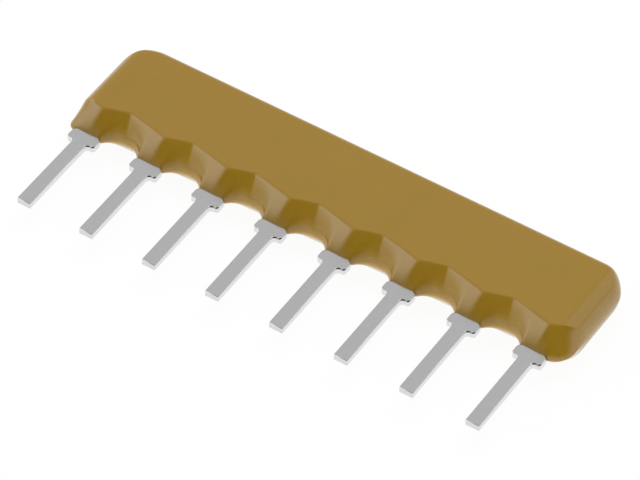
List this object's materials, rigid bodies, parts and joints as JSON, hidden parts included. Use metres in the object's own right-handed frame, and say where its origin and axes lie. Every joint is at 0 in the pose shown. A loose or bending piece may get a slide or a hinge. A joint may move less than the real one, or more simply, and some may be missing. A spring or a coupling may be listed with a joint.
{
  "type": "resistor network",
  "caption": "Single-in-line thick-film resistor network: mustard dipped coating over a ceramic strip, with one row of flat shouldered leads for board mounting.",
  "frame": {"origin": "bottom centre of the whole part, lying on its back", "axes": "+X along the row of leads from the first lead to the last, -Y the way the leads point, +Z out of the front face"},
  "size_m": [0.0198, 0.008, 0.0019],
  "materials": {
    "coating": "smooth glossy mustard dipped epoxy",
    "alumina": "as-fired white alumina",
    "conductor_film": "matte fired silver film",
    "resistor_film": "dark fired resistor ink",
    "glaze": "thin fired protective glass",
    "tinned_lead": "satin tin plate on copper alloy strip",
    "solder": "smooth reflowed solder"
  },
  "bodies": {
    "root": {"coating": "coating", "ceramic_strip": "alumina", "common_track": "conductor_film", "pad_2": "conductor_film", "pad_3": "conductor_film", "pad_4": "conductor_film", "pad_5": "conductor_film", "pad_6": "conductor_film", "pad_7": "conductor_film", "pad_8": "conductor_film", "resistor_1": "resistor_film", "resistor_2": "resistor_film", "resistor_3": "resistor_film", "resistor_4": "resistor_film", "resistor_5": "resistor_film", "resistor_6": "resistor_film", "resistor_7": "resistor_film", "glaze": "glaze", "lead_1": "tinned_lead", "lead_2": "tinned_lead", "lead_3": "tinned_lead", "lead_4": "tinned_lead", "lead_5": "tinned_lead", "lead_6": "tinned_lead", "lead_7": "tinned_lead", "lead_8": "tinned_lead", "solder_1": "solder", "solder_2": "solder", "solder_3": "solder", "solder_4": "solder", "solder_5": "solder", "solder_6": "solder", "solder_7": "solder", "solder_8": "solder"}
  },
  "joints": []
}
